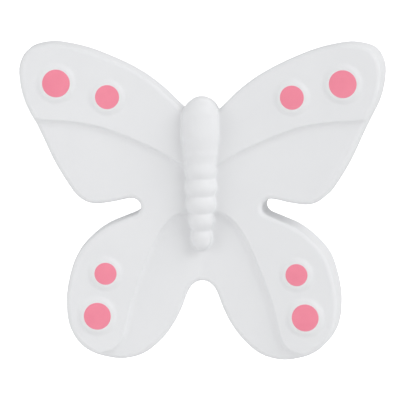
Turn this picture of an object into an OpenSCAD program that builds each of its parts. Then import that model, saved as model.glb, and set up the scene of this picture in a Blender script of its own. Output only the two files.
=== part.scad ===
// Butterfly furniture knob with its stem, threaded insert, washer and fixing screw.
// The butterfly faces -Y with its head up (+Z). The screw enters from the back along Y.
// The origin is the centre of the stem's rear face, which seats on the furniture.

/* [Butterfly] */
// Width across the wing tips
span = 59.8; // [56:0.2:64]
// Thickness of the lowest wing panel
panel_base = 6.4; // [5.5:0.1:8]
// Height of each step between wing panels
step_height = 0.7; // [0.4:0.1:1]
// Angle by which each wing rises towards the front
wing_lift = 3.5; // [0:0.5:6]
// Radius of the rounded front edges
edge_radius = 0.7; // [0.4:0.1:0.9]
// Half width of the thorax
thorax_r = 2.95; // [2.8:0.05:3.3]

/* [Spots] */
// Radius of the large forewing spots
fore_large_r = 2.3; // [1.8:0.05:2.6]
// Radius of the small forewing spots
fore_small_r = 2; // [1.5:0.05:2.3]
// Radius of the small hindwing spots
hind_small_r = 1.85; // [1.5:0.05:2.2]
// Radius of the large hindwing spots
hind_large_r = 2.25; // [1.8:0.05:2.5]
// Height of the raised pad under each spot
pad_height = 0.35; // [0.2:0.05:0.6]
// Depth of the seat that holds each spot
seat_depth = 0.25; // [0.1:0.05:0.3]

/* [Stem] */
// Length from the furniture to the back of the butterfly
stem_length = 12; // [10:0.5:16]
// Radius of the foot that seats on the furniture
foot_r = 7; // [6.5:0.1:8.5]
// Radius of the narrowest part of the neck
neck_r = 5.2; // [4.8:0.1:6]

/* [Fixing] */
// Thickness of the furniture panel that is clamped
furniture_panel = 16; // [14:1:18]
// Length of the M4 screw under its head
screw_length = 25; // [25:0.5:26]
// Length of the threaded insert
insert_length = 9; // [8:0.5:9]

/* [Hidden] */
$fn = 64;
SIDES = [["left", -1], ["right", 1]];
// Each spot: name, distance from the body axis, height, radius, panel level
SPOTS = [
    ["fore_large", 23.45, 19.35, fore_large_r, 2],
    ["fore_small", 15.15, 17.1, fore_small_r, 2],
    ["hind_small", 15.7, -11.9, hind_small_r, 1],
    ["hind_large", 17.1, -18.9, hind_large_r, 1]
];
function spot_node(side, spot) = str("spot_", side[0], "_", spot[0]);

WHITE = "#f4f4f5";
PINK = "#ec8fa3";
BRASS = "#c9a24d";
STEEL = "#b9bcc0";

drawn_span = 59.8;
wing_scale = span / drawn_span;
root_overlap = 1.2;
// The wings are turned about a line at this height over their backs
turn_height = 7;
curve_steps = 2;

boss_depth = 1;
wing_back = stem_length + boss_depth;
boss_r = 7.5;
socket_r = 3.65;
spigot_r = 3.6;
spigot_length = 3;
spigot_gap = 0.05;

pad_rim = 0.15;
pad_slope = 1;
seat_gap = 0.02;
spot_thickness = 0.3;
spot_dome = 0.08;
spot_bevel = 0.15;

// The body's widest line stands this share of its half width above the wing surface
body_lift = 0.5;
body_root = 3;
thorax_top = 17;
thorax_z = 11;
head_length = 2.9;
waist_z = 5.7;
waist_length = 2.5;
// Abdomen rings from the waist to the tail: half width and height
RINGS = [[2.5, 5.15], [2.45, 2.3], [2.3, -0.55], [2, -3.4], [1.55, -6.25]];
ring_length = 1.9;
groove_depth = 0.35;

insert_r = 3;
insert_recess = 0.5;
insert_bore_r = 2;
knurl_teeth = 20;
tip_room_r = 2.25;
tip_room_depth = 12.6;

screw_r = 1.95;
head_r = 4;
head_height = 2.4;
recess_width = 0.9;
recess_span = 4.4;
recess_depth = 1.5;
washer_r = 4.5;
washer_bore_r = 2.15;
washer_thickness = 0.8;
head_gap = 0.02;
head_seat = furniture_panel + washer_thickness + head_gap;

// Outline of the hindwing on the right, anticlockwise from the body to the gap between the wings
HIND_OUTLINE = [
    [-root_overlap, -1.1], [-root_overlap, -12.4], [0, -13.1], [0.8, -13.35], [1.6, -13.95],
    [2.4, -15.2], [3.3, -17.6], [4.6, -20.2], [6.6, -22.85], [9.5, -25.2], [13, -26.1],
    [16.6, -25.55], [19.75, -23.8], [21.7, -20.7], [22.2, -16.6], [21.7, -12.7], [20.4, -8.9],
    [18.1, -6.2], [15.5, -4.25], [12.6, -3], [10.5, -2.1]
];
// Outline of the forewing on the right, from the gap between the wings to the head.
// Both outlines pass the body axis so that the two halves join inside the body.
FORE_OUTLINE = [
    [9.9, -1.1], [10.35, -0.05], [11.6, 0.4], [14.6, -0.2], [17.8, -0.45], [20.1, 0.7],
    [22.1, 3.35], [24.1, 6.8], [25.8, 10.5], [27.1, 13.2], [28.6, 16.2], [29.4, 19.4],
    [29.4, 22.4], [28, 24.8], [25, 25.7], [21.9, 25.5], [17.3, 24.3], [11.1, 21.55],
    [6.9, 18.7], [3.9, 15.85], [1.6, 13.8], [-root_overlap, 12.6]
];
// A point inside each wing that sees its whole outline
HIND_MIDDLE = [10, -10];
FORE_MIDDLE = [12, 8];
// Foot of the step that crosses the forewing, from the body to beyond the wing edge
FORE_STEP = [[-2, 4.2], [2.9, 5.9], [6.5, 8], [11.5, 10.3], [16.4, 12.1], [21.3, 13], [25, 13.2],
    [32, 13.9]];
// Foot of the step that crosses the hindwing, from beyond the lower edge to the body
HIND_STEP = [[20, -27], [16.2, -25.1], [14.2, -24.3], [12.9, -22.3], [12.2, -19.4], [11.4, -16.3],
    [9.6, -11.4], [7.5, -6.6], [5.8, -3.9], [4.3, -2.5], [2.6, -2], [-2, -2]];

function at(points, i) = points[max(0, min(len(points) - 1, i))];

// Point at share t between points b and c of a Catmull-Rom curve
function curve_point(a, b, c, d, t) =
    0.5 * (2 * b + (c - a) * t + (2 * a - 5 * b + 4 * c - d) * t * t
        + (3 * b - a - 3 * c + d) * t * t * t);

function curve(points, steps) = [
    for (i = [0:len(points) - 2])
        for (k = [0:(i == len(points) - 2 ? steps : steps - 1)])
            curve_point(at(points, i - 1), at(points, i), at(points, i + 1), at(points, i + 2),
                k / steps)
];

function unit(v) = v / norm(v);

// Each point of an anticlockwise outline moved inwards by a distance
function inset(points, distance) = [
    for (i = [0:len(points) - 1])
        let (n = len(points), along = unit(points[(i + 1) % n] - points[(i + n - 1) % n]))
            points[i] + distance * [-along[1], along[0]]
];

wing_points = curve([for (p = concat(HIND_OUTLINE, FORE_OUTLINE)) p * wing_scale], curve_steps);
gap_index = len(HIND_OUTLINE) * curve_steps;

function lifted(points, height) = [for (p = points) [p[0], p[1], height]];

// Triangles that close a wing outline, fanned from the middle of each wing
function cap(first, n, middles) = concat(
    [for (i = [0:gap_index - 1]) [middles, first + i, first + i + 1]],
    [[middles, first + gap_index, first]],
    [for (i = [gap_index:n - 1]) [middles + 1, first + i, first + (i + 1) % n]],
    [[middles + 1, first, first + gap_index]]
);

function flipped(faces) = [for (f = faces) [f[0], f[2], f[1]]];

// Solid through a stack of wing outlines, each given with its height
module stacked(outlines, heights) {
    n = len(outlines[0]);
    top = len(outlines) - 1;
    middles = [HIND_MIDDLE * wing_scale, FORE_MIDDLE * wing_scale];
    polyhedron(
        points = concat(
            [for (k = [0:top]) each lifted(outlines[k], heights[k])],
            lifted(middles, heights[0]),
            lifted(middles, heights[top])
        ),
        faces = concat(
            cap(0, n, (top + 1) * n),
            flipped(cap(top * n, n, (top + 1) * n + 2)),
            [for (k = [0:top - 1]) for (i = [0:n - 1])
                let (j = (i + 1) % n) [k * n + i, (k + 1) * n + i, (k + 1) * n + j, k * n + j]]
        )
    );
}

// Whole right wing with rounded edges, its front at the given height over its back
module wing_plate(front) {
    r = edge_radius;
    stacked(
        [wing_points, wing_points, inset(wing_points, r * (1 - cos(45))), inset(wing_points, r)],
        [0, front - r, front - r * (1 - sin(45)), front]
    );
}

function level_front(level) = panel_base + level * step_height;

// Everything on the raised side of a step
module step_region(step_points, corners) {
    translate([0, 0, -1]) linear_extrude(level_front(3) + 1)
        polygon(concat(curve([for (p = step_points) p * wing_scale], curve_steps), corners));
}

// Stands a shape drawn on the wing's back plane up in the right wing's place
module on_right_wing() {
    translate([0, -wing_back, 0]) rotate([0, 0, -wing_lift]) rotate([90, 0, 0])
        translate([turn_height * tan(wing_lift), 0, 0]) children();
}

module on_wing(side) {
    mirror([side[1] < 0 ? 1 : 0, 0, 0]) on_right_wing() children();
}

module wing_panels() {
    wing_plate(level_front(0));
    intersection() {
        wing_plate(level_front(1));
        step_region(HIND_STEP, [[-2, 40], [40, 40], [40, -27]]);
    }
    intersection() {
        wing_plate(level_front(2));
        step_region(FORE_STEP, [[40, 13.9], [40, 40], [-2, 40]]);
    }
}

module spot_place(spot, height) {
    translate([spot[1] * wing_scale, spot[2] * wing_scale, level_front(spot[4]) + height])
        children();
}

module spot_pads() {
    for (spot = SPOTS)
        spot_place(spot, 0)
            translate([0, 0, -step_height / 2])
                cylinder(h = pad_height + step_height / 2,
                    r1 = spot[3] + pad_rim + pad_slope * (1 + step_height / pad_height / 2),
                    r2 = spot[3] + pad_rim, $fn = 48);
}

module spot_seats() {
    for (spot = SPOTS)
        spot_place(spot, pad_height - seat_depth) cylinder(h = 5, r = spot[3] + seat_gap, $fn = 48);
}

surface_y = -(wing_back + panel_base);

// Rounded swelling of the body, its sides running straight back into the wings
module bead(half_width, z, half_length) {
    hull() for (depth = [0, body_root])
        translate([0, surface_y - body_lift * half_width + depth, z])
            scale([1, 1, half_length / half_width]) sphere(half_width, $fn = 32);
}

// Head and thorax as one smooth dome
module thorax() {
    hull() {
        bead(thorax_r - 0.07, thorax_top - head_length, head_length);
        bead(thorax_r, thorax_z, head_length);
        bead(thorax_r - 0.3, waist_z + waist_length, waist_length);
    }
}

// Abdomen of overlapping rings, with cores that keep the grooves shallow
module abdomen() {
    for (ring = RINGS) bead(ring[0], ring[1], ring_length);
    for (i = [0:len(RINGS) - 2]) hull() {
        bead(RINGS[i][0] - groove_depth, RINGS[i][1], 1);
        bead(RINGS[i + 1][0] - groove_depth, RINGS[i + 1][1], 1);
    }
}

module along_back(y) {
    translate([0, y, 0]) rotate([90, 0, 0]) children();
}

module butterfly() {
    color(WHITE) difference() {
        union() {
            for (side = SIDES) on_wing(side) wing_panels();
            for (side = SIDES) on_wing(side) spot_pads();
            thorax();
            abdomen();
            along_back(-stem_length) cylinder(h = boss_depth + 2, r = boss_r);
        }
        for (side = SIDES) on_wing(side) spot_seats();
        along_back(1 - stem_length) cylinder(h = 1 + spigot_length + spigot_gap, r = socket_r);
    }
}

module spot(side, spot) {
    r = spot[3];
    color(PINK) on_wing(side) spot_place(spot, pad_height - seat_depth) rotate_extrude()
        polygon([[0, 0], [r, 0], [r, spot_thickness - spot_bevel / 2],
            [r - spot_bevel, spot_thickness], [r * 0.6, spot_thickness + spot_dome * 0.7],
            [0, spot_thickness + spot_dome]]);
}

module stem() {
    cove_r = stem_length / 2;
    foot_bevel = 0.5;
    color(WHITE) rotate([90, 0, 0]) difference() {
        union() {
            cylinder(h = foot_bevel, r1 = foot_r - foot_bevel, r2 = foot_r);
            translate([0, 0, foot_bevel]) cylinder(h = stem_length - foot_bevel, r = foot_r);
            cylinder(h = stem_length + spigot_length, r = spigot_r);
        }
        translate([0, 0, stem_length * 0.58]) rotate_extrude()
            translate([neck_r + cove_r, 0]) circle(cove_r);
        translate([0, 0, -1]) cylinder(h = 1 + insert_recess + insert_length, r = insert_r);
        cylinder(h = tip_room_depth, r = tip_room_r);
    }
}

module threaded_insert() {
    bevel = 0.3;
    waist_start = insert_length * 0.42;
    waist_end = insert_length * 0.58;
    color(BRASS) along_back(-insert_recess) difference() {
        rotate_extrude() polygon([
            [insert_bore_r + bevel, 0], [insert_r - bevel, 0], [insert_r, bevel],
            [insert_r, waist_start], [insert_r - bevel, waist_start + bevel],
            [insert_r - bevel, waist_end - bevel], [insert_r, waist_end],
            [insert_r, insert_length - bevel], [insert_r - bevel, insert_length],
            [insert_bore_r, insert_length], [insert_bore_r, bevel]
        ]);
        for (i = [0:knurl_teeth - 1])
            rotate([0, 0, i * 360 / knurl_teeth]) translate([insert_r, 0, insert_length / 2])
                rotate([0, 0, 45]) cube([0.34, 0.34, insert_length + 1], center = true);
    }
}

module washer() {
    bevel = 0.15;
    color(STEEL) translate([0, furniture_panel, 0]) rotate([-90, 0, 0]) rotate_extrude()
        polygon([
            [washer_bore_r, 0], [washer_r, 0], [washer_r, washer_thickness - bevel],
            [washer_r - bevel, washer_thickness], [washer_bore_r, washer_thickness]
        ]);
}

// Pan head screw with a cross recess, its tip towards the butterfly
module fixing_screw() {
    tip_bevel = 0.6;
    side_height = 0.9;
    dome_steps = 5;
    dome = [for (i = [0:dome_steps]) let (a = 90 * i / dome_steps)
        [head_r * (0.35 + 0.65 * cos(a)), side_height + (head_height - side_height) * sin(a)]];
    color(STEEL) translate([0, head_seat, 0]) rotate([-90, 0, 0]) difference() {
        rotate_extrude() polygon(concat(
            [[0, -screw_length], [screw_r - tip_bevel, -screw_length],
                [screw_r, tip_bevel - screw_length], [screw_r, 0], [head_r, 0]],
            dome, [[0, head_height]]
        ));
        for (turn = [0, 90])
            rotate([0, 0, turn]) translate([0, 0, head_height])
                cube([recess_span, recess_width, 2 * recess_depth], center = true);
    }
}

butterfly();
stem();
threaded_insert();
for (side = SIDES) for (spot = SPOTS)
    spot(side, spot);
washer();
fixing_screw();
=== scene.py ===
"""Looks of the butterfly knob: white moulding, enamel spots, turned stem, insert, washer and screw."""

import math

import bpy
import numpy as np
from mathutils import Matrix, Quaternion, Vector


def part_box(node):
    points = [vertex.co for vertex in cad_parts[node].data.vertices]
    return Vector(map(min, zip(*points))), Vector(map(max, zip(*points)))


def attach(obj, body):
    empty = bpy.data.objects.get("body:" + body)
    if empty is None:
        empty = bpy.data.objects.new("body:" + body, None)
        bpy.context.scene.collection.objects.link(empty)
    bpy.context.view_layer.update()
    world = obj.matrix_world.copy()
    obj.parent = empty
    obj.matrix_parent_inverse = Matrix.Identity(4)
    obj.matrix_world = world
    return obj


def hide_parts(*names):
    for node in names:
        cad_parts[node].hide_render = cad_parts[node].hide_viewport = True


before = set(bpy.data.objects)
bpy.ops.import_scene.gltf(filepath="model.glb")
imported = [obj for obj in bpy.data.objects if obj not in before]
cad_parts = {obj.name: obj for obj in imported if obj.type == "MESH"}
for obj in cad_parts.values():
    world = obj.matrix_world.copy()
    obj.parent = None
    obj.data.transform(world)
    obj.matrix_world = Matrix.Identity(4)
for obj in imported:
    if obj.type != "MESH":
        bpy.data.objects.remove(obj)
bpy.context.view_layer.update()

MM = 0.001


def box_mm(node):
    """Lowest and highest corner of a CAD node in millimetres."""
    low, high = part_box(node)
    return np.array(low) / MM, np.array(high) / MM


# ---------------------------------------------------------------- sizes in millimetres
# The knob faces -Y, its head is up (+Z), and its stem's rear face is at y = 0.

# Wings: the right one is drawn on its back plane, and both are turned about a line over their backs
BUTTERFLY_LOW, BUTTERFLY_HIGH = box_mm("butterfly")
# Half width that the wings have when drawn without scaling
DRAWN_HALF_WIDTH = 29.91
WING_SCALE = BUTTERFLY_HIGH[0] / DRAWN_HALF_WIDTH
STEM_LENGTH = -BUTTERFLY_HIGH[1]
BOSS_DEPTH = 1.0
WING_BACK = STEM_LENGTH + BOSS_DEPTH
PANEL_BASE = 6.4
STEP_HEIGHT = 0.7
WING_LIFT = math.radians(3.5)
TURN_HEIGHT = 7.0
LIFT_SHIFT = TURN_HEIGHT * math.tan(WING_LIFT)
SURFACE_Y = -(WING_BACK + PANEL_BASE)
FRONT_RADIUS = 0.75
BACK_RADIUS = 0.35
# How far each step fades out below its lip, and how wide the lip is
FORE_FADE = 1.5
HIND_FADE = 1.9
STEP_EDGE = 0.22
# Width of the soft valley in which the two wings meet
VALLEY = 0.5

# Spots and the raised pads they are set in
PAD_HEIGHT = 0.35
PAD_RIM = 0.15
PAD_SLOPE = 1.0
SEAT_DEPTH = 0.25
SPOT_THICKNESS = 0.3
SPOT_DOME = 0.08
SPOT_EDGE_RADIUS = 0.14

# Body: its widest line stands this share of its half width over the wings
BODY_LIFT = 0.5
BODY_ROOT = 3.0
ROOT_FILLET = 0.5
# Height and half width of the thorax at its lower end, its widest place and the head
THORAX_END, THORAX_WIDEST, THORAX_HEAD = (8.2, 2.65), (11.0, 2.95), (14.1, 2.88)
# Height and half width of the abdomen's rings
RING_KNOTS = [(5.15, 2.5), (2.3, 2.45), (-0.55, 2.3), (-3.4, 2.0), (-6.25, 1.55)]
GROOVE_DEPTH = 0.4
GROOVE_SOFTNESS = 0.02
TAIL_LENGTH = 1.75
WAIST_BLEND = 0.8

# Boss on the butterfly's back and the socket that takes the stem's spigot
BOSS_RADIUS = 7.5
BOSS_ROOT = 2.0
BOSS_FILLET = 0.4
SOCKET_RADIUS = 3.65
SOCKET_DEPTH = 3.05

# Spacing of the grids on which the butterfly and the screw head are meshed
BUTTERFLY_PITCH = 0.274
BUTTERFLY_MARGIN = 0.6
SCREW_HEAD_PITCH = 0.12

# Stem, with its insert pocket and the room for the screw's tip
NECK_RADIUS = 5.2
NECK_PLACE = 0.58
SPIGOT_RADIUS = 3.6
POCKET_RADIUS = 3.0
POCKET_DEPTH = 9.5
TIP_ROOM_RADIUS = 2.25
TIP_ROOM_DEPTH = 12.6

# Fixing: M4 insert, washer and screw
THREAD_PITCH = 0.7
THREAD_DEPTH = 0.2
INSERT_BORE = 2.02
INSERT_BEVEL = 0.3
INSERT_BAND = 0.42
KNURL_TEETH = 20
KNURL_DEPTH = 0.2
WASHER_BORE = 2.15
WASHER_EDGE_RADIUS = 0.14
SHANK_RADIUS = 1.95
CORE_RADIUS = 1.57
TIP_BEVEL = 0.6
THREAD_RUNOUT = 0.9
HEAD_HEIGHT = 2.4
HEAD_SIDE_HEIGHT = 0.9
HEAD_FLAT = 0.35
HEAD_EDGE_RADIUS = 0.12
RECESS_HALF_WIDTH = 0.45
RECESS_HALF_SPAN = 2.2
RECESS_DEPTH = 1.5

# Right half of the outline, from the notch under the tail round to the head, and the feet of the steps
RIGHT_OUTLINE = [
    (0, -13.25), (0.8, -13.4), (1.6, -13.95), (2.4, -15.2), (3.3, -17.6), (4.6, -20.2),
    (6.6, -22.85), (9.5, -25.2), (13, -26.1), (16.6, -25.55), (19.75, -23.8), (21.7, -20.7),
    (22.2, -16.6), (21.7, -12.7), (20.4, -8.9), (18.1, -6.2), (15.5, -4.25), (12.6, -3),
    (10.5, -2.1), (9.9, -1.1), (10.35, -0.05), (11.6, 0.4), (14.6, -0.2), (17.8, -0.45),
    (20.1, 0.7), (22.1, 3.35), (24.1, 6.8), (25.8, 10.5), (27.1, 13.2), (28.6, 16.2),
    (29.4, 19.4), (29.4, 22.4), (28, 24.8), (25, 25.7), (21.9, 25.5), (17.3, 24.3),
    (11.1, 21.55), (6.9, 18.7), (3.9, 15.85), (1.6, 13.8), (0, 13.1),
]
FORE_STEP = [(-6, 3.6), (-2, 4.2), (2.9, 5.9), (6.5, 8), (11.5, 10.3), (16.4, 12.1), (21.3, 13),
             (25, 13.2), (32, 13.9)]
HIND_STEP = [(20, -27), (16.2, -25.1), (14.2, -24.3), (12.9, -22.3), (12.2, -19.4), (11.4, -16.3),
             (9.6, -11.4), (7.5, -6.6), (5.8, -3.9), (4.3, -2.5), (2.6, -2), (-2, -2), (-6, -2)]
# The steps are drawn from one edge of the wing to the other, and closed far outside it
FAR = 60
CURVE_STEPS = 6
SPOT_NAMES = ["fore_large", "fore_small", "hind_small", "hind_large"]
SPOT_LEVEL = {"fore": 2, "hind": 1}
SIDES = [("left", -1), ("right", 1)]

# ---------------------------------------------------------------- light and camera in metres
# The background is white to the camera, while the room lights the object more softly
ROOM_LIGHT = 0.585
ROOM_COLOR = (0.985, 0.992, 1, 1)
BACKGROUND_SEEN = 1.02
LIGHT_TARGET = (0, -0.02, 0)
# Name, place, diameter and power of each lamp
LIGHTS = [
    ("key", (0.78, -0.50, 0.60), 0.8, 5.4),
    ("fill", (-0.36, -0.24, 0.10), 0.3, 0.42),
    ("rim", (0.12, 0.42, 0.50), 0.5, 0.78),
]
FLOOR_HALF, FLOOR_LEVEL = 6.0, -0.075
CAMERA_AZIMUTH = 6.0
CAMERA_ELEVATION = 6.4
CAMERA_ROLL = -0.36
CAMERA_TARGET = (-0.00026, -0.0194, 0.00008)
CAMERA_DISTANCE = 0.7
CAMERA_LENS = 386.4


# ---------------------------------------------------------------- shapes as distance fields

def curve(points):
    """Catmull-Rom curve through the points."""
    p = np.array(points, float)
    around = np.vstack([p[:1], p, p[-1:]])
    a, b, c, d = (around[i:len(around) - 3 + i, None, :] for i in range(4))
    t = (np.arange(CURVE_STEPS) / CURVE_STEPS)[None, :, None]
    line = 0.5 * (2 * b + (c - a) * t + (2 * a - 5 * b + 4 * c - d) * t**2
                  + (3 * b - a - 3 * c + d) * t**3)
    return np.vstack([line.reshape(-1, 2), p[-1:]])


def polygon_distance(u, v, corners):
    """Distance to a closed polygon, negative inside."""
    nearest = np.full(u.shape, 1e9)
    inside = np.zeros(u.shape, bool)
    for (ax, ay), (bx, by) in zip(corners, np.roll(corners, -1, 0)):
        ex, ey = bx - ax, by - ay
        length2 = ex * ex + ey * ey
        if length2 < 1e-12:
            continue
        t = np.clip(((u - ax) * ex + (v - ay) * ey) / length2, 0, 1)
        nearest = np.minimum(nearest, (u - ax - t * ex) ** 2 + (v - ay - t * ey) ** 2)
        if ay != by:
            inside ^= ((ay > v) != (by > v)) & (u < ax + (v - ay) * ex / ey)
    return np.where(inside, -1, 1) * np.sqrt(nearest)


class Field:
    """Values on a square grid of the wing plane, read between its points with a smooth cubic."""

    def __init__(self, u_low, v_low, pitch, values):
        self.low, self.pitch, self.values = (u_low, v_low), pitch, values

    def __call__(self, u, v):
        spots, weights = [], []
        for x, low, size in zip((u, v), self.low, self.values.shape):
            x = np.clip((x - low) / self.pitch, 1, size - 3)
            i = np.floor(x).astype(int)
            i = np.minimum(i, size - 3)
            t = x - i
            spots.append(i)
            weights.append([0.5 * (-t + 2 * t**2 - t**3), 0.5 * (2 - 5 * t**2 + 3 * t**3),
                            0.5 * (t + 4 * t**2 - 3 * t**3), 0.5 * (t**3 - t**2)])
        total = np.zeros(u.shape)
        for a in range(4):
            for b in range(4):
                total += weights[0][a] * weights[1][b] * self.values[spots[0] + a - 1,
                                                                     spots[1] + b - 1]
        return total


def ease(x):
    """Smooth rise from 0 to 1."""
    x = np.clip(x, 0, 1)
    return x * x * (3 - 2 * x)


def round_meet(a, b, radius):
    """Where two solids meet, with their common edge rounded."""
    p, q = np.maximum(a + radius, 0), np.maximum(b + radius, 0)
    return np.minimum(np.maximum(a, b), -radius) + np.hypot(p, q)


def soft_join(a, b, width):
    """Two solids joined with a fillet."""
    h = np.maximum(width - np.abs(a - b), 0) / width
    return np.minimum(a, b) - h * h * width / 4


def step_share(distance, fade):
    """1 on the raised side of a step, falling steeply past its edge and then fading out."""
    x = np.clip((distance + STEP_EDGE) / fade, 0, 1)
    falling = (1 - x) ** 3
    lip = ease((distance + 2 * STEP_EDGE) / (2.5 * STEP_EDGE))
    return 1 - lip * (1 - falling)


def to_wing(p):
    """Distance out along the wing, height, and depth over the wing's back plane."""
    out = np.sqrt(p[:, 0] ** 2 + VALLEY**2) - VALLEY * np.exp(-np.abs(p[:, 0]) / VALLEY)
    back = p[:, 1] + WING_BACK
    return (out * math.cos(WING_LIFT) - back * math.sin(WING_LIFT) - LIFT_SHIFT, p[:, 2],
            -out * math.sin(WING_LIFT) - back * math.cos(WING_LIFT))


def from_wing(side, out, up, depth):
    """Place in the CAD frame, in millimetres, of a point given in the wing's own frame."""
    out += LIFT_SHIFT
    return Vector((side * (out * math.cos(WING_LIFT) - depth * math.sin(WING_LIFT)),
                   -WING_BACK - out * math.sin(WING_LIFT) - depth * math.cos(WING_LIFT), up))


def spot_facts(side_name, side, spot_name):
    """Wing-frame place, radius and level of a spot, from its CAD node's box."""
    low, high = box_mm(f"spot_{side_name}_{spot_name}")
    centre = (low + high) / 2
    level = SPOT_LEVEL[spot_name.split("_")[0]]
    base = PANEL_BASE + level * STEP_HEIGHT + PAD_HEIGHT - SEAT_DEPTH
    out = (side * centre[0] + base * math.sin(WING_LIFT)) / math.cos(WING_LIFT) - LIFT_SHIFT
    return out, centre[2], (high[2] - low[2]) / 2, base


def wing_fields():
    """Outline distance and front height of the right wing over its back plane."""
    pitch = 0.2
    u_low, u_high = -1.6, 31.6
    v_low, v_high = -28.0, 28.0
    u, v = np.meshgrid(np.arange(u_low, u_high, pitch), np.arange(v_low, v_high, pitch), indexing="ij")
    right = curve(RIGHT_OUTLINE)[:-1] * WING_SCALE
    top = np.array([RIGHT_OUTLINE[-1]]) * WING_SCALE
    left = right[:0:-1] * [-1, 1]
    outline = polygon_distance(u, v, np.vstack([right, top, left]))
    hind_corners = [(HIND_STEP[-1][0], FAR), (FAR, FAR), (FAR, HIND_STEP[0][1])]
    fore_corners = [(FAR, 14), (FAR, FAR), (FORE_STEP[0][0], FAR)]
    hind = np.vstack([curve(HIND_STEP) * WING_SCALE, hind_corners])
    fore = np.vstack([curve(FORE_STEP) * WING_SCALE, fore_corners])
    height = PANEL_BASE + STEP_HEIGHT * (step_share(polygon_distance(u, v, hind), HIND_FADE)
                                         + step_share(polygon_distance(u, v, fore), FORE_FADE))
    for name in SPOT_NAMES:
        out, up, radius, _ = spot_facts("right", 1, name)
        reach = np.hypot(u - out, v - up) - radius - PAD_RIM
        height += PAD_HEIGHT * ease(1 - reach / PAD_SLOPE)
    return Field(u_low, v_low, pitch, outline), Field(u_low, v_low, pitch, height)


def polynomial(knots, degree):
    """Smooth radius over height that runs close to the knots."""
    heights, radii = np.array(knots).T
    return np.poly1d(np.polyfit(heights, radii, degree))


def butterfly_field():
    """Distance-like function of the whole butterfly, negative inside."""
    outline, height = wing_fields()
    ring_radius = polynomial(RING_KNOTS, 2)
    ring_top, ring_end = RING_KNOTS[0][0], RING_KNOTS[-1][0]
    ring_pitch = (ring_top - ring_end) / (len(RING_KNOTS) - 1)

    def swelling(p, up, radius, end_scale=1.0):
        """Rounded form about the line at a height, its sides running straight back into the wings."""
        middle = SURFACE_Y - BODY_LIFT * radius
        deep = p[:, 1] - np.clip(p[:, 1], middle, middle + BODY_ROOT)
        return np.sqrt(p[:, 0] ** 2 + deep**2 + ((p[:, 2] - up) * end_scale) ** 2) - radius

    def thorax(p):
        (end, end_r), (widest, widest_r), (head, head_r) = THORAX_END, THORAX_WIDEST, THORAX_HEAD
        up = np.clip(p[:, 2], end, head)
        radius = end_r + (widest_r - end_r) * ease((up - end) / (widest - end))
        radius -= (widest_r - head_r) * ease((up - widest) / (head - widest))
        return swelling(p, up, radius)

    def abdomen(p):
        up = np.clip(p[:, 2], ring_end, ring_top)
        wave = np.sqrt(np.cos(math.pi * (up - ring_top) / ring_pitch) ** 2 + GROOVE_SOFTNESS)
        radius = ring_radius(up) - GROOVE_DEPTH * (1 - wave)
        return swelling(p, up, radius, RING_KNOTS[-1][1] / TAIL_LENGTH)

    def solid(p):
        out, up, depth = to_wing(p)
        plate = round_meet(outline(out, up), depth - height(out, up), FRONT_RADIUS)
        plate = round_meet(plate, -depth, BACK_RADIUS)
        body = soft_join(thorax(p), abdomen(p), WAIST_BLEND)
        whole = soft_join(plate, body, ROOT_FILLET)
        around = np.hypot(p[:, 0], p[:, 2])
        boss = round_meet(around - BOSS_RADIUS, p[:, 1] + STEM_LENGTH, BACK_RADIUS)
        boss = np.maximum(boss, -p[:, 1] - WING_BACK - BOSS_ROOT)
        whole = soft_join(whole, boss, BOSS_FILLET)
        socket = np.maximum(around - SOCKET_RADIUS, -(STEM_LENGTH + SOCKET_DEPTH) - p[:, 1])
        return np.maximum(whole, -socket)

    return solid


def sampled(field, points, chunk=400_000):
    """Values of a field at many points, worked out in chunks."""
    return np.concatenate([field(points[i:i + chunk]) for i in range(0, len(points), chunk)])


def gradient(field, points, reach=0.02):
    """Slope of a field at each point."""
    columns = []
    for axis in range(3):
        shift = np.zeros(3)
        shift[axis] = reach
        columns.append(sampled(field, points + shift) - sampled(field, points - shift))
    return np.stack(columns, 1) / (2 * reach)


def along(axis, near, far, others=()):
    """Index that takes one stretch of an axis, and given stretches of the other two."""
    pick = [slice(None)] * 3
    pick[axis] = slice(near, far)
    for other, start, end in others:
        pick[other] = slice(start, end)
    return tuple(pick)


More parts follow.
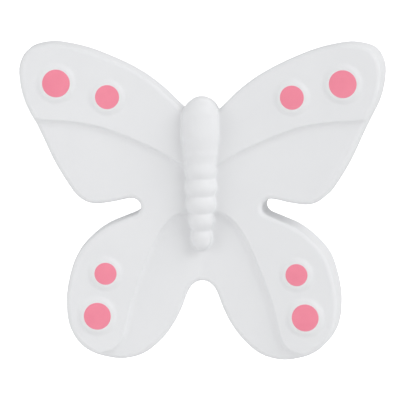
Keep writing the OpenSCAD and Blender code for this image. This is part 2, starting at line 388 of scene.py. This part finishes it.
def surface(field, low, high, pitch, settle=4):
    """Quad mesh of a field's zero surface (surface nets), with every vertex pulled onto the surface."""
    axes = [np.arange(a, b + pitch, pitch) for a, b in zip(low, high)]
    shape = [len(a) for a in axes]
    grid = np.stack(np.meshgrid(*axes, indexing="ij"), -1).reshape(-1, 3)
    value = sampled(field, grid).reshape(shape)
    inside = value < 0
    total = np.zeros([n - 1 for n in shape] + [3])
    count = np.zeros([n - 1 for n in shape])
    for axis in range(3):
        first, second = [a for a in range(3) if a != axis]
        near, far = along(axis, 0, -1), along(axis, 1, None)
        crossing = inside[near] != inside[far]
        share = np.where(crossing, value[near] / np.where(crossing, value[near] - value[far], 1), 0)
        for i in (0, 1):
            for j in (0, 1):
                pick = along(first, i, shape[first] - 1 + i, [(second, j, shape[second] - 1 + j)])
                hit = crossing[pick]
                total[..., axis] += np.where(hit, share[pick], 0)
                total[..., first] += np.where(hit, i, 0)
                total[..., second] += np.where(hit, j, 0)
                count += hit
    used = count > 0
    index = np.full(used.shape, -1)
    index[used] = np.arange(used.sum())
    cells = np.argwhere(used)
    points = np.array([a[0] for a in axes]) + pitch * (cells + total[used] / count[used][:, None])
    quads = []
    for axis in range(3):
        b, c = (axis + 1) % 3, (axis + 2) % 3
        spots = np.argwhere(inside[along(axis, 0, -1)] != inside[along(axis, 1, None)])
        spots = spots[(spots[:, b] > 0) & (spots[:, c] > 0)]
        spots = spots[(spots[:, b] < shape[b] - 1) & (spots[:, c] < shape[c] - 1)]
        ring = []
        for db, dc in ((1, 1), (0, 1), (0, 0), (1, 0)):
            cell = spots.copy()
            cell[:, b] -= db
            cell[:, c] -= dc
            ring.append(index[cell[:, 0], cell[:, 1], cell[:, 2]])
        ring = np.stack(ring, 1)
        outward = inside[spots[:, 0], spots[:, 1], spots[:, 2]]
        quads.append(np.where(outward[:, None], ring, ring[:, ::-1]))
    quads = np.concatenate(quads)
    points = settled(field, points, quads, settle)
    normals = gradient(field, points)
    normals /= np.linalg.norm(normals, axis=1)[:, None]
    return points, quads, normals


def settled(field, points, quads, rounds):
    """Vertices evened out along the surface and then pulled onto it."""
    edges = np.concatenate([quads[:, [i, (i + 1) % 4]] for i in range(4)])
    edges = np.unique(np.sort(edges, 1), axis=0)
    ends = np.concatenate([edges, edges[:, ::-1]])
    count = np.bincount(ends[:, 0], minlength=len(points))[:, None]
    for turn in range(rounds):
        slope = gradient(field, points)
        steep = (slope**2).sum(1)[:, None]
        if turn < rounds - 2:
            mean = np.stack([np.bincount(ends[:, 0], points[ends[:, 1], k], len(points))
                             for k in range(3)], 1) / count
            move = mean - points
            move -= slope * (move * slope).sum(1)[:, None] / steep
            points = points + 0.5 * move
            slope = gradient(field, points)
            steep = (slope**2).sum(1)[:, None]
        points = points - slope * sampled(field, points)[:, None] / np.maximum(steep, 0.05)
    return points


# ---------------------------------------------------------------- meshes

def mesh_object(name, points_mm, faces, normals=None, sharp_angle=None):
    """New smooth-shaded object, with given normals or with edges sharp past an angle in degrees."""
    mesh = bpy.data.meshes.new(name)
    mesh.from_pydata((np.asarray(points_mm) * MM).tolist(), [], [list(map(int, f)) for f in faces])
    mesh.validate()
    mesh.polygons.foreach_set("use_smooth", [True] * len(mesh.polygons))
    if sharp_angle:
        mesh.set_sharp_from_angle(angle=math.radians(sharp_angle))
    mesh.update()
    if normals is not None:
        mesh.normals_split_custom_set_from_vertices(normals.tolist())
    item = bpy.data.objects.new(name, mesh)
    bpy.context.scene.collection.objects.link(item)
    return item


def rounded(profile, radius, steps=4):
    """The profile with each inner corner replaced by a small curve."""
    profile = [np.array(p, float) for p in profile]
    result = [profile[0]]
    for before, corner, after in zip(profile, profile[1:], profile[2:]):
        reach = min(radius, np.linalg.norm(before - corner) / 2.1, np.linalg.norm(after - corner) / 2.1)
        start = corner + (before - corner) / np.linalg.norm(before - corner) * reach
        end = corner + (after - corner) / np.linalg.norm(after - corner) * reach
        for i in range(steps + 1):
            t = i / steps
            result.append(start * (1 - t) ** 2 + 2 * corner * t * (1 - t) + end * t * t)
    return result + [profile[-1]]


def profile_turns_inwards(profile, closed):
    """Whether the swept faces of a profile, in its order, would look into the material."""
    ends = np.roll(profile, -1, 0) if closed else profile[1:]
    starts = profile if closed else profile[:-1]
    (r, y), (next_r, next_y) = starts.T, ends.T
    return ((r * r + r * next_r + next_r * next_r) * (next_y - y)).sum() > 0


def lathe(name, profile, segments, reshape=None, sharp_angle=40, closed=False):
    """Turned piece about the Y axis from (radius, y) points. Reshape may change radii by place and turn."""
    profile = np.array(profile, float)
    turn = 2 * math.pi * np.arange(segments) / segments
    radius = np.repeat(profile[:, :1], segments, 1)
    depth = np.repeat(profile[:, 1:], segments, 1)
    if reshape:
        radius = reshape(radius, depth, turn[None, :])
    points = np.stack([radius * np.sin(turn), depth, radius * np.cos(turn)], -1).reshape(-1, 3)
    faces = []
    rows = len(profile)
    for i in range(rows if closed else rows - 1):
        k = (i + 1) % rows
        for j in range(segments):
            n = (j + 1) % segments
            faces.append((i * segments + j, k * segments + j, k * segments + n, i * segments + n))
    if not closed:
        for row, flip in ((0, False), (rows - 1, True)):
            ring = [row * segments + j for j in range(segments)]
            faces.append(ring[::-1] if flip else ring)
    if profile_turns_inwards(profile, closed):
        faces = [face[::-1] for face in faces]
    return mesh_object(name, points, faces, sharp_angle=sharp_angle)


# ---------------------------------------------------------------- materials

class Nodes:
    """Short helper for building a node material."""

    def __init__(self, name):
        self.material = bpy.data.materials.new(name)
        self.material.use_nodes = True
        self.tree = self.material.node_tree
        self.shader = self.tree.nodes["Principled BSDF"]
        self.place = self.tree.nodes.new("ShaderNodeTexCoord").outputs["Object"]

    def add(self, kind):
        return self.tree.nodes.new(kind)

    def link(self, source, target):
        self.tree.links.new(source, target)

    def noise(self, scale, detail, stretch=None):
        """Noise over the object's own space, with its scale per metre."""
        texture = self.add("ShaderNodeTexNoise")
        texture.inputs["Scale"].default_value = scale
        texture.inputs["Detail"].default_value = detail
        source = self.place
        if stretch:
            mapping = self.add("ShaderNodeMapping")
            mapping.inputs["Scale"].default_value = stretch
            self.link(self.place, mapping.inputs["Vector"])
            source = mapping.outputs["Vector"]
        self.link(source, texture.inputs["Vector"])
        return texture.outputs["Fac"]

    def ramp(self, source, *stops):
        """Colour between two stops, each a position and a colour."""
        ramp = self.add("ShaderNodeValToRGB")
        for element, (position, color) in zip(ramp.color_ramp.elements, stops):
            element.position = position
            element.color = (*color, 1)
        self.link(source, ramp.inputs["Fac"])
        return ramp.outputs["Color"]

    def span(self, source, low, high):
        """A value from 0 to 1 spread between two others."""
        scale = self.add("ShaderNodeMapRange")
        scale.inputs["To Min"].default_value = low
        scale.inputs["To Max"].default_value = high
        self.link(source, scale.inputs["Value"])
        return scale.outputs["Result"]

    def bump(self, source, strength, distance, below=None):
        bump = self.add("ShaderNodeBump")
        bump.inputs["Strength"].default_value = strength
        bump.inputs["Distance"].default_value = distance
        self.link(source, bump.inputs["Height"])
        if below:
            self.link(below, bump.inputs["Normal"])
        return bump.outputs["Normal"]

    def to(self, socket, source):
        """Links an output to the shader's socket, or sets it to a constant."""
        if hasattr(source, "links"):
            self.link(source, self.shader.inputs[socket])
        else:
            self.shader.inputs[socket].default_value = source


def white_resin():
    """Matte moulded resin: faint cloudiness, soft sheen and a very fine satin grain."""
    m = Nodes("white_resin")
    m.to("Base Color", m.ramp(m.noise(90, 4), (0.3, (0.770, 0.774, 0.785)), (0.7, (0.787, 0.791, 0.801))))
    m.to("Roughness", m.span(m.noise(400, 3), 0.46, 0.56))
    m.to("Specular IOR Level", 0.32)
    grain = m.bump(m.noise(5200, 2), 0.10, 0.00003)
    m.to("Normal", m.bump(m.noise(260, 3), 0.05, 0.0002, grain))
    return m.material


def pink_enamel():
    """Smooth enamel with slight pooling of the colour."""
    m = Nodes("pink_enamel")
    m.to("Base Color", m.ramp(m.noise(420, 3), (0.3, (0.865, 0.245, 0.335)), (0.7, (0.895, 0.268, 0.358))))
    m.to("Roughness", m.span(m.noise(700, 3), 0.34, 0.44))
    m.to("Specular IOR Level", 0.3)
    m.to("Normal", m.bump(m.noise(900, 3), 0.06, 0.0001))
    return m.material


def insert_brass():
    """Turned brass with fine tool marks."""
    m = Nodes("insert_brass")
    m.to("Base Color", m.ramp(m.noise(600, 4), (0.25, (0.60, 0.40, 0.14)), (0.75, (0.76, 0.55, 0.23))))
    m.to("Metallic", 1.0)
    m.to("Roughness", m.span(m.noise(900, 4, (1, 12, 1)), 0.24, 0.42))
    m.to("Normal", m.bump(m.noise(2600, 3, (0.4, 4, 0.4)), 0.15, 0.00004))
    return m.material


def zinc_steel():
    """Bright zinc plate over drawn steel, slightly cloudy."""
    m = Nodes("zinc_steel")
    m.to("Base Color", m.ramp(m.noise(350, 4), (0.25, (0.52, 0.54, 0.57)), (0.75, (0.68, 0.69, 0.70))))
    m.to("Metallic", 1.0)
    m.to("Roughness", m.span(m.noise(800, 4), 0.26, 0.44))
    m.to("Normal", m.bump(m.noise(2400, 4), 0.18, 0.00004))
    return m.material


def finished(item, material, body, slot, *nodes):
    """Gives a piece its material and body, and hides the CAD nodes it stands for. The slot argument is not
    used.
    """
    item.data.materials.append(material)
    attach(item, body)
    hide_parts(*nodes)
    return item


# ---------------------------------------------------------------- pieces

def build_butterfly(material):
    """Wings, body and boss as one surface, on a grid that mirrors itself left to right."""
    high = BUTTERFLY_HIGH + BUTTERFLY_MARGIN
    half_count = math.ceil(high[0] / BUTTERFLY_PITCH)
    low = (-(half_count - 0.5) * BUTTERFLY_PITCH, BUTTERFLY_LOW[1] - BUTTERFLY_MARGIN, -high[2])
    points, quads, normals = surface(butterfly_field(), low, high, BUTTERFLY_PITCH)
    item = mesh_object("butterfly_moulding", points, quads, normals)
    finished(item, material, "knob", "white_resin", "butterfly")


def spot_profile(radius):
    """Half section of a domed spot as (radius, height) points, from its middle to its foot."""
    rings = 6
    dome = [(radius * k / rings, SPOT_THICKNESS + SPOT_DOME * (1 - (k / rings) ** 2))
            for k in range(1, rings)]
    edge = rounded([dome[-1], (radius - 0.02, SPOT_THICKNESS - 0.02), (radius, 0.05), (radius, 0)],
                   SPOT_EDGE_RADIUS, 5)
    return [(0.02, SPOT_THICKNESS + SPOT_DOME)] + dome[:-1] + edge


def build_spots(material):
    """The eight enamel spots, each in its seat."""
    for side_name, side in SIDES:
        for spot_name in SPOT_NAMES:
            out, up, radius, base = spot_facts(side_name, side, spot_name)
            profile = [(r, -height) for r, height in spot_profile(radius)]
            item = lathe(f"enamel_spot_{side_name}_{spot_name}", profile, 96)
            place = Matrix.Translation(from_wing(side, out, up, base) * MM)
            item.data.transform(place @ Matrix.Rotation(side * -WING_LIFT, 4, "Z"))
            finished(item, material, "knob", "pink_enamel", f"spot_{side_name}_{spot_name}")


def build_stem(material):
    """Turned stem: foot, cove, shoulder and spigot, with the pocket for the insert and the screw's tip."""
    low, high = box_mm("stem")
    foot = high[0]
    spigot_end = -low[1]
    axis = 0.05
    cove, middle = STEM_LENGTH / 2, STEM_LENGTH * NECK_PLACE
    centre = NECK_RADIUS + cove
    reach = math.asin(math.sqrt(cove**2 - (centre - foot) ** 2) / cove)
    cove_points = [(centre - cove * math.cos(a), middle + cove * math.sin(a))
                   for a in np.linspace(-reach, reach, 33)]
    inside = [(axis, TIP_ROOM_DEPTH), (TIP_ROOM_RADIUS, TIP_ROOM_DEPTH), (TIP_ROOM_RADIUS, POCKET_DEPTH)]
    foot_part = rounded([(POCKET_RADIUS, POCKET_DEPTH), (POCKET_RADIUS, 0.0), (foot, 0.0),
                         cove_points[0], cove_points[2]], 0.45, 6)
    top_part = rounded([cove_points[-3], cove_points[-1], (foot, STEM_LENGTH),
                        (SPIGOT_RADIUS, STEM_LENGTH), (SPIGOT_RADIUS, spigot_end), (axis, spigot_end)],
                       0.3, 6)
    profile = inside + foot_part + cove_points[3:-3] + top_part
    item = lathe("turned_stem", [(r, -depth) for r, depth in profile], 128)
    finished(item, material, "knob", "white_resin", "stem")


def thread_wave(depth, turn):
    """0 in the root and 1 on the crest of a right-hand thread."""
    share = (depth / THREAD_PITCH - turn / (2 * math.pi)) % 1
    return np.clip(np.abs(share - 0.5) * 2.6 - 0.15, 0, 1)


def build_insert(material):
    """Knurled insert: two toothed bands with a waist between them, and an inner thread."""
    low, high = box_mm("threaded_insert")
    near, far, outer = high[1], low[1], high[0]
    length = near - far
    waist = outer - INSERT_BEVEL
    bands = [near - INSERT_BEVEL, near - length * INSERT_BAND, far + length * INSERT_BAND,
             far + INSERT_BEVEL]
    outside = [(waist, near), (outer, bands[0]), (outer, bands[1]), (waist, bands[1] - INSERT_BEVEL),
               (waist, bands[2] + INSERT_BEVEL), (outer, bands[2]), (outer, bands[3]), (waist, far)]
    rows = int(length / (THREAD_PITCH / 8))
    inside = [(INSERT_BORE, far + length * i / rows) for i in range(rows)]
    inside.append((INSERT_BORE + INSERT_BEVEL, near))

    def reshape(radius, depth, turn):
        tooth = np.abs((turn * KNURL_TEETH / (2 * math.pi)) % 1 - 0.5) * 2
        knurl = np.where(radius > outer - 0.05, KNURL_DEPTH * (1 - tooth), 0)
        thread = np.where(radius < INSERT_BORE + 0.05, THREAD_DEPTH * (1 - thread_wave(depth, turn)), 0)
        return radius - knurl + thread

    item = lathe("knurled_insert", inside + outside, 120, reshape, closed=True)
    finished(item, material, "knob", "insert_brass", "threaded_insert")


def build_washer(material):
    """Plain washer with rounded edges. Its section starts and ends halfway along the bore."""
    low, high = box_mm("washer")
    outer, near, far = high[0], low[1], high[1]
    middle = (WASHER_BORE, (near + far) / 2)
    corners = [middle, (WASHER_BORE, far), (outer, far), (outer, near), (WASHER_BORE, near), middle]
    profile = rounded(corners, WASHER_EDGE_RADIUS, 4)[:-1]
    item = lathe("plain_washer", profile[::-1], 96, closed=True)
    finished(item, material, "washer", "zinc_steel", "washer")


def screw_head_field(seat, radius):
    """Pan head with a tapered cross recess."""
    flat = radius * HEAD_FLAT
    dome_height = HEAD_HEIGHT - HEAD_SIDE_HEIGHT
    side_taper, end_taper, arm_fillet = 0.09, 0.75, 0.25

    def solid(p):
        around = np.hypot(p[:, 0], p[:, 2])
        up = p[:, 1] - seat
        q = np.maximum(around - flat, 0) / (radius - flat)
        s = np.maximum(up - HEAD_SIDE_HEIGHT, 0) / dome_height
        head = round_meet((np.hypot(q, s) - 1) * dome_height, -up, HEAD_EDGE_RADIUS)
        depth = HEAD_HEIGHT - up
        arms = [np.maximum(np.abs(across) - RECESS_HALF_WIDTH + side_taper * depth,
                           np.abs(span) - RECESS_HALF_SPAN + end_taper * depth)
                for across, span in ((p[:, 0], p[:, 2]), (p[:, 2], p[:, 0]))]
        recess = np.maximum(soft_join(arms[0], arms[1], arm_fillet), depth - RECESS_DEPTH)
        return np.maximum(head, -recess)

    return solid


def build_screw(material):
    """Threaded shank and pan head. The shank runs a little way into the head."""
    low, high = box_mm("fixing_screw")
    tip, radius = low[1], high[0]
    seat = high[1] - HEAD_HEIGHT
    rows = int((seat - tip) / (THREAD_PITCH / 10))
    profile = [(SHANK_RADIUS, tip + (seat + 0.1 - tip) * i / rows) for i in range(rows + 1)]

    def reshape(_, depth, turn):
        thread = CORE_RADIUS + (SHANK_RADIUS - CORE_RADIUS) * thread_wave(depth, turn)
        thread = np.where(depth > seat - THREAD_RUNOUT, CORE_RADIUS + 0.12, thread)
        point = SHANK_RADIUS - TIP_BEVEL + (depth - tip)
        return np.minimum(thread, np.maximum(point, 0.2))

    shank = lathe("screw_shank", profile, 64, reshape, sharp_angle=60)
    reach = radius + 0.3
    points, quads, normals = surface(screw_head_field(seat, radius), (-reach, seat - 0.3, -reach),
                                     (reach, high[1] + 0.3, reach), SCREW_HEAD_PITCH)
    head = mesh_object("screw_head", points, quads, normals)
    finished(shank, material, "screw", "zinc_steel", "fixing_screw")
    finished(head, material, "screw", "zinc_steel", "fixing_screw")


# ---------------------------------------------------------------- stage, light and camera

def build_stage():
    """Plain white floor that looks evenly bright to the camera."""
    mesh = bpy.data.meshes.new("floor")
    corners = [(x * FLOOR_HALF, y * FLOOR_HALF, FLOOR_LEVEL) for x, y in ((-1, -1), (1, -1), (1, 1), (-1, 1))]
    mesh.from_pydata(corners, [], [(0, 1, 2, 3)])
    floor = bpy.data.objects.new("floor", mesh)
    bpy.context.scene.collection.objects.link(floor)
    m = Nodes("floor_white")
    m.to("Base Color", m.ramp(m.noise(3, 2), (0.3, (0.90, 0.90, 0.90)), (0.7, (0.91, 0.91, 0.91))))
    m.to("Roughness", 0.9)
    m.to("Emission Color", (1, 1, 1, 1))
    m.to("Emission Strength", m.span(m.add("ShaderNodeLightPath").outputs["Is Camera Ray"], 0, 1))
    mesh.materials.append(m.material)


def area_light(name, place, size, power):
    """Round lamp that faces the butterfly."""
    data = bpy.data.lights.new(name, "AREA")
    data.shape = "DISK"
    data.size = size
    data.energy = power
    item = bpy.data.objects.new(name, data)
    item.location = place
    aim = Vector(LIGHT_TARGET) - Vector(place)
    item.rotation_euler = aim.to_track_quat("-Z", "Y").to_euler()
    bpy.context.scene.collection.objects.link(item)


def build_light():
    """Even room light and the lamps."""
    scene = bpy.context.scene
    scene.view_settings.view_transform = "Standard"
    world = bpy.data.worlds.new("studio")
    scene.world = world
    world.use_nodes = True
    tree = world.node_tree
    path = tree.nodes.new("ShaderNodeLightPath")
    seen = tree.nodes.new("ShaderNodeMapRange")
    seen.inputs["To Min"].default_value = ROOM_LIGHT
    seen.inputs["To Max"].default_value = BACKGROUND_SEEN
    tree.links.new(path.outputs["Is Camera Ray"], seen.inputs["Value"])
    tree.links.new(seen.outputs["Result"], tree.nodes["Background"].inputs["Strength"])
    tree.nodes["Background"].inputs["Color"].default_value = ROOM_COLOR
    for name, place, size, power in LIGHTS:
        area_light(name, place, size, power)


def build_camera():
    """Camera that looks at its target from a little to the right and above."""
    data = bpy.data.cameras.new("camera")
    data.lens = CAMERA_LENS
    data.sensor_width = 36
    data.clip_start, data.clip_end = 0.01, 50
    a, e = math.radians(CAMERA_AZIMUTH), math.radians(CAMERA_ELEVATION)
    back = Vector((math.sin(a) * math.cos(e), -math.cos(a) * math.cos(e), math.sin(e)))
    roll = Quaternion((0, 0, 1), math.radians(CAMERA_ROLL))
    camera = bpy.data.objects.new("camera", data)
    camera.location = Vector(CAMERA_TARGET) + back * CAMERA_DISTANCE
    camera.rotation_mode = "QUATERNION"
    camera.rotation_quaternion = (-back).to_track_quat("-Z", "Y") @ roll
    bpy.context.scene.collection.objects.link(camera)
    bpy.context.scene.camera = camera


white = white_resin()
pink = pink_enamel()
brass = insert_brass()
steel = zinc_steel()
build_butterfly(white)
build_spots(pink)
build_stem(white)
build_insert(brass)
build_washer(steel)
build_screw(steel)
build_stage()
build_light()
build_camera()
